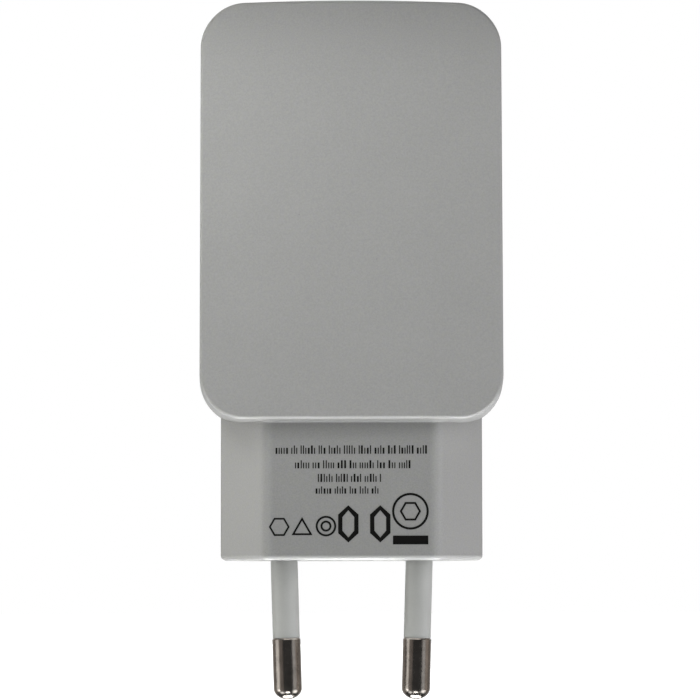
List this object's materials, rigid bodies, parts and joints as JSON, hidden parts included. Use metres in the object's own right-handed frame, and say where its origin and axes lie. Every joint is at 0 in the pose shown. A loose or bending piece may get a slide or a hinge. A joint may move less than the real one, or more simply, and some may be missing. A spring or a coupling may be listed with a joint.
{
  "type": "usb wall charger",
  "caption": "Flat grey wall charger with a slim two-pin plug neck below and USB-A sockets in the far end.",
  "frame": {"origin": "centre of the plug's engagement face, midway between the two pins", "axes": "+Z from the engagement face to the USB end, +X to the right seen from the front, -Y out of the front face"},
  "size_m": [0.0418, 0.021, 0.0952],
  "materials": {
    "housing": "satin pearl grey paint over moulded polycarbonate",
    "face_plate": "fine matt texture",
    "light_window": "clear diffusing",
    "insulation_paper": "pressed fibre sheet",
    "pin_carrier": "moulded, fine texture",
    "pin_metal": "bright nickel plate on brass",
    "pin_sleeve": "satin moulded",
    "live_wire": "PVC insulation",
    "neutral_wire": "PVC insulation",
    "circuit_board": "paper laminate, solder mask on the rear",
    "tinned_copper": "tinned",
    "resistor_coating": "lacquer with colour bands",
    "ferrite": "sintered, ground faces",
    "copper_winding": "enamelled copper wire",
    "chip_epoxy": "moulded epoxy",
    "optocoupler_epoxy": "white moulded epoxy",
    "input_can_sleeve": "shrink sleeve with a polarity stripe",
    "output_can_sleeve": "shrink sleeve with a polarity stripe",
    "seal_rubber": "moulded",
    "disc_coating": "dipped epoxy",
    "bobbin_plastic": "glass filled moulding",
    "polyester_tape": "wrapped film",
    "thick_film": "glazed chip with tinned ends",
    "chip_ceramic": "fired ceramic with tinned ends",
    "led_case": "white reflector case",
    "port_steel": "nickel plated sheet",
    "port_plastic": "white glass filled nylon",
    "gold_contact": "gold flash"
  },
  "bodies": {
    "root": {"front_cover": "housing", "rear_cover": "housing", "usb_face_plate": "face_plate", "led_window": "light_window", "insulation_sheet": "insulation_paper", "pin_carrier": "pin_carrier", "left_pin": "pin_metal", "right_pin": "pin_metal", "left_pin_sleeve": "pin_sleeve", "right_pin_sleeve": "pin_sleeve", "live_lead": "live_wire", "neutral_lead": "neutral_wire", "main_board": "circuit_board", "component_leads": "tinned_copper", "transformer_pins": "tinned_copper", "chip_leads": "tinned_copper", "fuse_resistor": "resistor_coating", "input_choke_core": "ferrite", "transformer_lower_core": "ferrite", "transformer_upper_core": "ferrite", "input_choke_winding": "copper_winding", "transformer_winding": "copper_winding", "bridge_rectifier": "chip_epoxy", "controller_chip": "chip_epoxy", "output_rectifier": "chip_epoxy", "port_controller_chip": "chip_epoxy", "optocoupler": "optocoupler_epoxy", "input_capacitor_1": "input_can_sleeve", "input_capacitor_2": "input_can_sleeve", "output_capacitor_1": "output_can_sleeve", "output_capacitor_2": "output_can_sleeve", "capacitor_seals": "seal_rubber", "y_capacitor": "disc_coating", "transformer_bobbin": "bobbin_plastic", "transformer_tape": "polyester_tape", "chip_resistors": "thick_film", "chip_capacitors": "chip_ceramic", "status_led": "led_case", "left_usb_shell": "port_steel", "right_usb_shell": "port_steel", "left_usb_tongue": "port_plastic", "right_usb_tongue": "port_plastic", "left_usb_contacts": "gold_contact", "right_usb_contacts": "gold_contact"}
  },
  "joints": []
}
